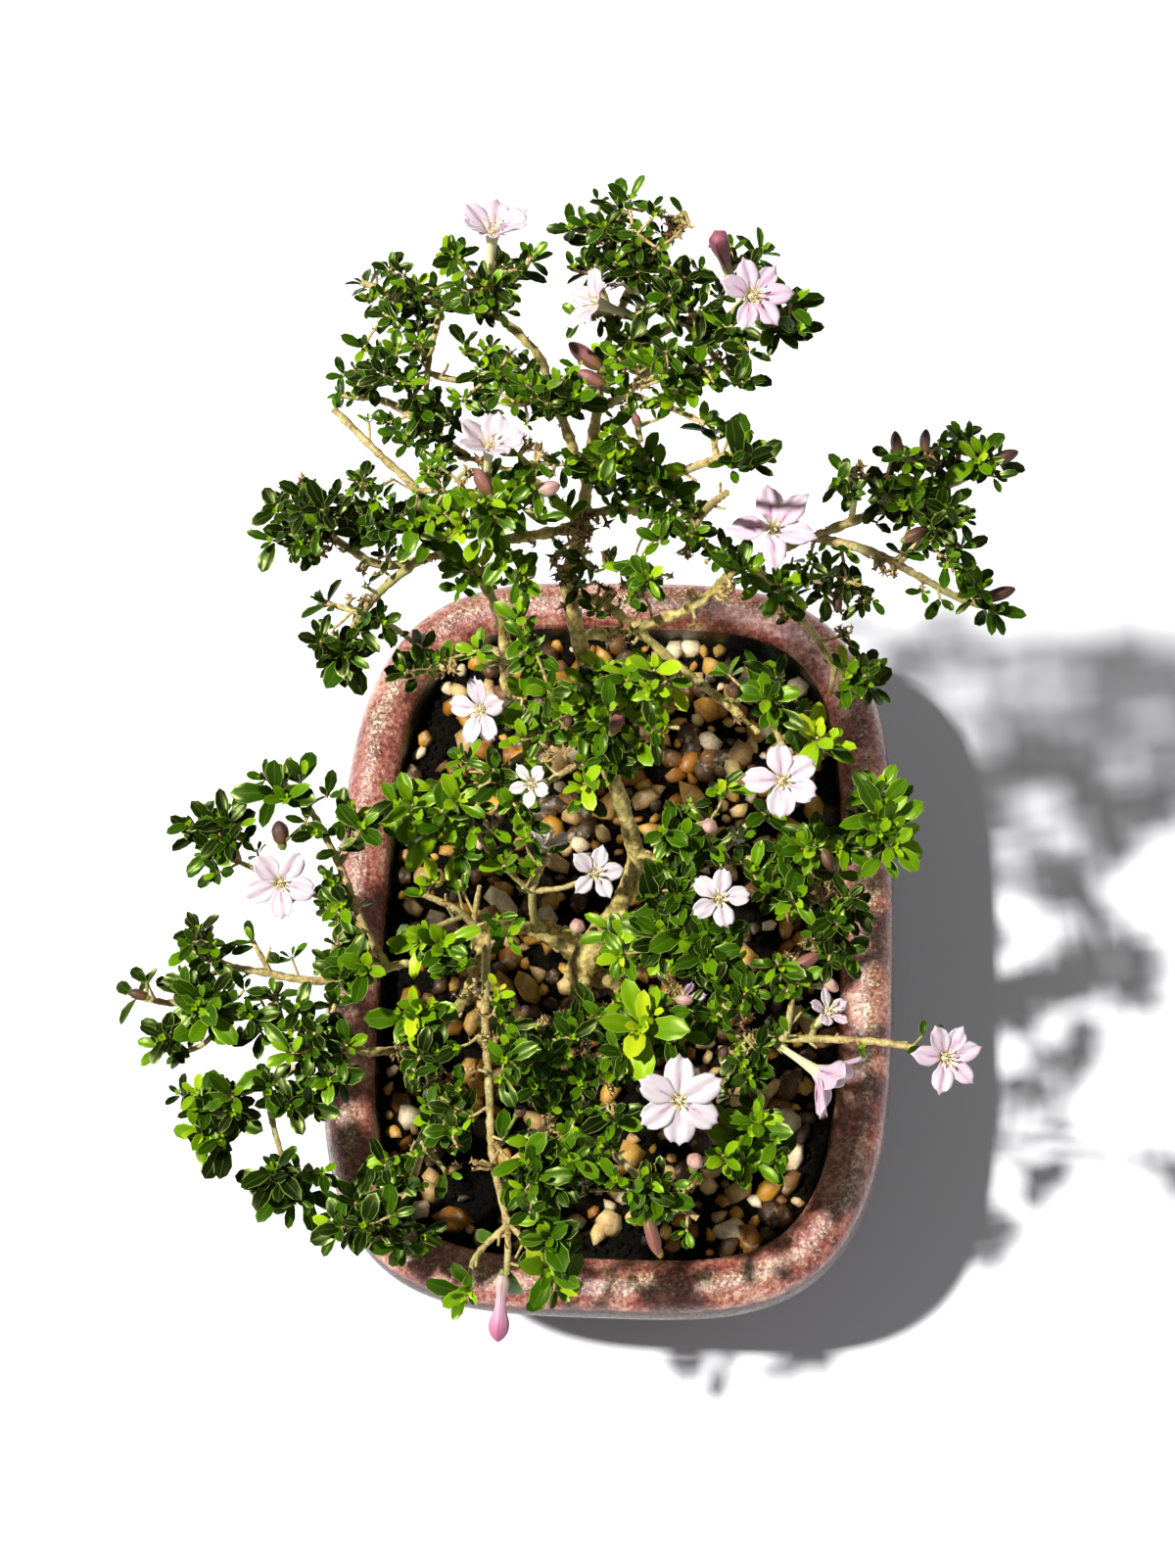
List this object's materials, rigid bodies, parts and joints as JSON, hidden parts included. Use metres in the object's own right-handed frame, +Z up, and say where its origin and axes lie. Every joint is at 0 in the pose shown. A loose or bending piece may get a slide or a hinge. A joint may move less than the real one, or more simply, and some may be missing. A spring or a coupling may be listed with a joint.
{
  "type": "serissa bonsai",
  "caption": "Small-leaved flowering bonsai with a curved trunk, spreading leafy sprays and pale pink blooms, growing in gravel-topped soil in a glazed rounded pot.",
  "frame": {"origin": "middle of the pot's flat underside", "axes": "+Z up, -Y towards the front of the pot, where the low sprays hang over the lip; the pot's long side runs along Y"},
  "size_m": [0.1952, 0.1988, 0.2487],
  "materials": {
    "pot_glaze": "glossy mottled glaze",
    "soil": "matte",
    "gravel": "matte",
    "net": "matte",
    "bark": "rough",
    "leaf": "satin",
    "petal": "matte",
    "bud": "matte"
  },
  "bodies": {
    "root": {"pot": "pot_glaze", "drain_net_front": "net", "drain_net_back": "net", "soil": "soil", "gravel": "gravel", "trunk": "bark", "bloom_top_left": "petal", "bloom_top": "petal", "bloom_crown": "petal", "bloom_left_upper": "petal", "bloom_right_back": "petal", "bloom_left": "petal", "bloom_right": "petal", "bloom_centre_small": "petal", "bloom_centre": "petal", "bloom_right_inner": "petal", "bloom_front": "petal", "bloom_front_right": "petal", "bloom_right_tip": "petal", "bloom_left_tip": "petal", "bloom_right_small": "petal", "bud_top": "bud", "bud_front": "bud", "spray_top_tip": "leaf", "spray_top_left": "leaf", "spray_crown_right": "leaf", "spray_crown_middle": "leaf", "spray_left_top_tip": "leaf", "spray_left_top": "leaf", "spray_left_upper": "leaf", "spray_centre_left": "leaf", "spray_centre_large": "leaf", "spray_left_far": "leaf", "spray_left_mid": "leaf", "spray_left_hanging": "leaf", "spray_centre_low_left": "leaf", "spray_right_far": "leaf", "spray_right_low": "leaf", "spray_right_hanging": "leaf", "spray_right_middle": "leaf", "spray_right_large": "leaf", "spray_diagonal": "leaf", "spray_centre_bright": "leaf", "spray_centre_rosettes": "leaf", "spray_left_inner_back": "leaf", "spray_right_rim": "leaf", "spray_right_inner": "leaf", "spray_mid_right": "leaf", "spray_right_reach": "leaf", "spray_front_bloom": "leaf", "spray_left_inner": "leaf", "spray_centre_inner": "leaf", "spray_front_left": "leaf", "spray_front_cascade": "leaf", "spray_front_middle": "leaf", "spray_left_upright": "leaf", "spray_left_tip": "leaf", "spray_left_tip_low": "leaf", "spray_left_front": "leaf"}
  },
  "joints": []
}
